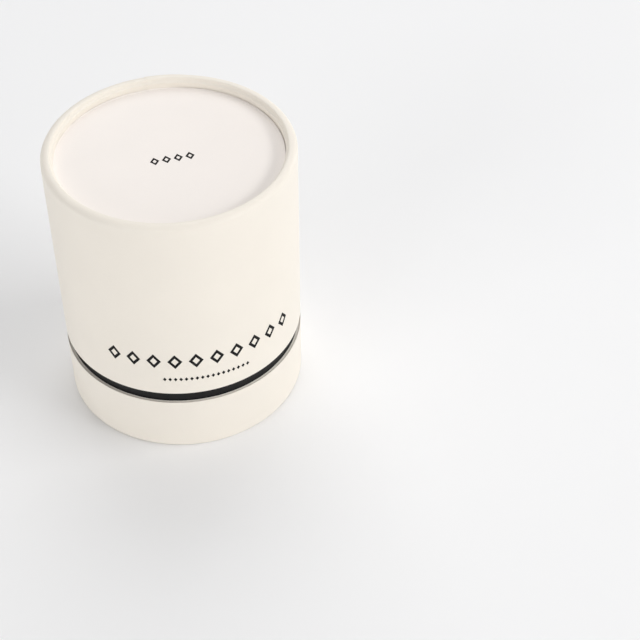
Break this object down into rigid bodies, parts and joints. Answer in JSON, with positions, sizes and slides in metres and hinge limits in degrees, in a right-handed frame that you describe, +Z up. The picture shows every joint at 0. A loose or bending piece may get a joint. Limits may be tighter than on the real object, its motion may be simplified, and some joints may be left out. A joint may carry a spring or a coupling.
{
  "type": "cylindrical gift tube box",
  "caption": "Round rigid paper tube box with a tall lift-off lid over a black neck, a shallow base, a rolled rim and recessed end discs.",
  "frame": {"origin": "centre of the foot, on the surface that the box stands on", "axes": "+Z up along the box's axis; X and Y are free, because the box is round"},
  "size_m": [0.092, 0.092, 0.109],
  "materials": {
    "cream_paper": "matte",
    "black_paper": "satin",
    "white_board": "matte",
    "grey_board": "matte"
  },
  "bodies": {
    "base": {"base_tube": "grey_board", "base_wrap": "cream_paper", "base_disc": "white_board", "base_disc_cover": "cream_paper", "neck_tube": "white_board", "neck_wrap": "black_paper"},
    "lid": {"lid_tube": "grey_board", "lid_sleeve": "white_board", "lid_wrap": "cream_paper", "lid_disc": "white_board", "lid_disc_cover": "cream_paper"}
  },
  "joints": [
    {"name": "lid_lift", "type": "slide", "parent": "base", "child": "lid", "axis": [0, 0, 1], "range_m": [0, 0.095]}
  ]
}
